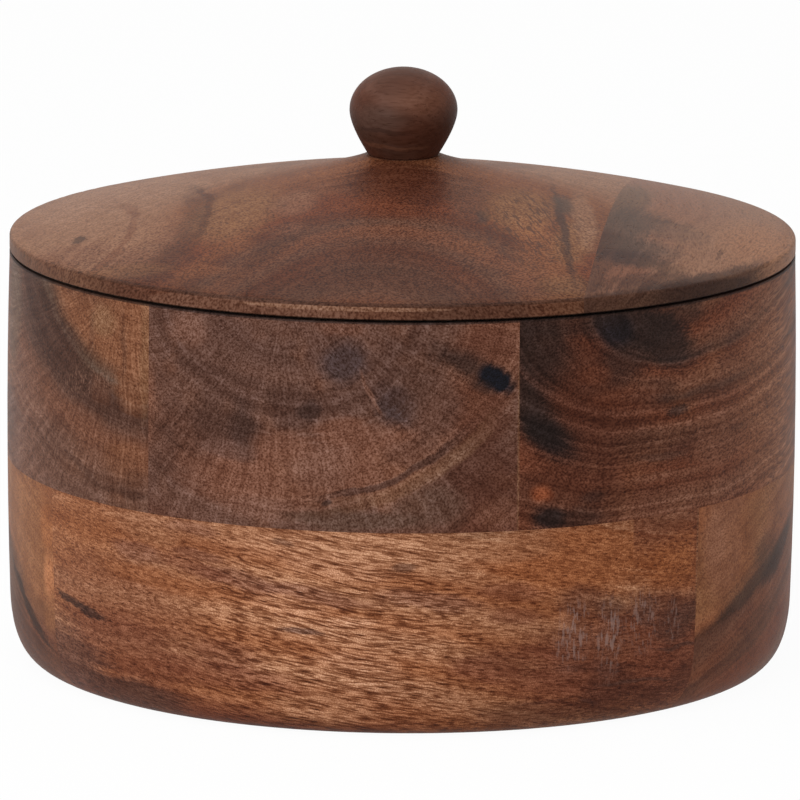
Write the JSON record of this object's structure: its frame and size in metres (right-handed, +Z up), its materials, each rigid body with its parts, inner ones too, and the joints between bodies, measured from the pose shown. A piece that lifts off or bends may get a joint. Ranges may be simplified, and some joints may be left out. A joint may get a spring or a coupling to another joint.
{
  "type": "round wooden spice box",
  "caption": "Round turned hardwood spice box with a lift-off domed lid, a ball knob and loose steel spice cups inside.",
  "frame": {"origin": "centre of the underside, on the surface the box stands on", "axes": "+Z up along the turning axis, towards the knob; -Y is the front; the upper tier's and the lid's planks run along Y and the lower tier's along X"},
  "size_m": [0.211, 0.211, 0.1591],
  "materials": {
    "acacia_upper_left": "oiled, satin",
    "acacia_upper_front": "oiled, satin",
    "acacia_upper_back": "oiled, satin",
    "acacia_upper_right": "oiled, satin",
    "acacia_lower_front": "oiled, satin",
    "acacia_lower_middle": "oiled, satin",
    "acacia_lower_back": "oiled, satin",
    "acacia_lid_main": "oiled, satin",
    "acacia_lid_side": "oiled, satin",
    "acacia_knob": "oiled, satin",
    "acacia_spoon": "oiled, satin",
    "zinc_plated_steel": "zinc plated",
    "stainless_steel": "brushed"
  },
  "bodies": {
    "box": {"base_plank_front": "acacia_lower_front", "base_plank_middle": "acacia_lower_middle", "base_plank_back": "acacia_lower_back", "wall_block_left": "acacia_upper_left", "wall_block_front": "acacia_upper_front", "wall_block_back": "acacia_upper_back", "wall_block_right": "acacia_upper_right"},
    "lid": {"lid_plank_main": "acacia_lid_main", "lid_plank_side": "acacia_lid_side", "lid_knob": "acacia_knob", "knob_screw": "zinc_plated_steel"},
    "cup_centre": {"spice_cup_centre": "stainless_steel"},
    "cup_1": {"spice_cup_1": "stainless_steel"},
    "cup_2": {"spice_cup_2": "stainless_steel"},
    "cup_3": {"spice_cup_3": "stainless_steel"},
    "cup_4": {"spice_cup_4": "stainless_steel"},
    "cup_5": {"spice_cup_5": "stainless_steel"},
    "cup_6": {"spice_cup_6": "stainless_steel"},
    "spoon": {"spice_spoon": "acacia_spoon"}
  },
  "joints": [
    {"name": "lid_lift", "type": "slide", "parent": "box", "child": "lid", "axis": [0, 0, 1], "range_m": [0, 0.2]},
    {"name": "cup_centre_lift", "type": "slide", "parent": "box", "child": "cup_centre", "axis": [0, 0, 1], "range_m": [0, 0.014]},
    {"name": "cup_1_lift", "type": "slide", "parent": "box", "child": "cup_1", "axis": [0, 0, 1], "range_m": [0, 0.03]},
    {"name": "cup_2_lift", "type": "slide", "parent": "box", "child": "cup_2", "axis": [0, 0, 1], "range_m": [0, 0.03]},
    {"name": "cup_3_lift", "type": "slide", "parent": "box", "child": "cup_3", "axis": [0, 0, 1], "range_m": [0, 0.03]},
    {"name": "cup_4_lift", "type": "slide", "parent": "box", "child": "cup_4", "axis": [0, 0, 1], "range_m": [0, 0.03]},
    {"name": "cup_5_lift", "type": "slide", "parent": "box", "child": "cup_5", "axis": [0, 0, 1], "range_m": [0, 0.03]},
    {"name": "cup_6_lift", "type": "slide", "parent": "box", "child": "cup_6", "axis": [0, 0, 1], "range_m": [0, 0.03]},
    {"name": "spoon_lift", "type": "slide", "parent": "cup_centre", "child": "spoon", "axis": [0, 0, 1], "range_m": [0, 0.014]}
  ]
}
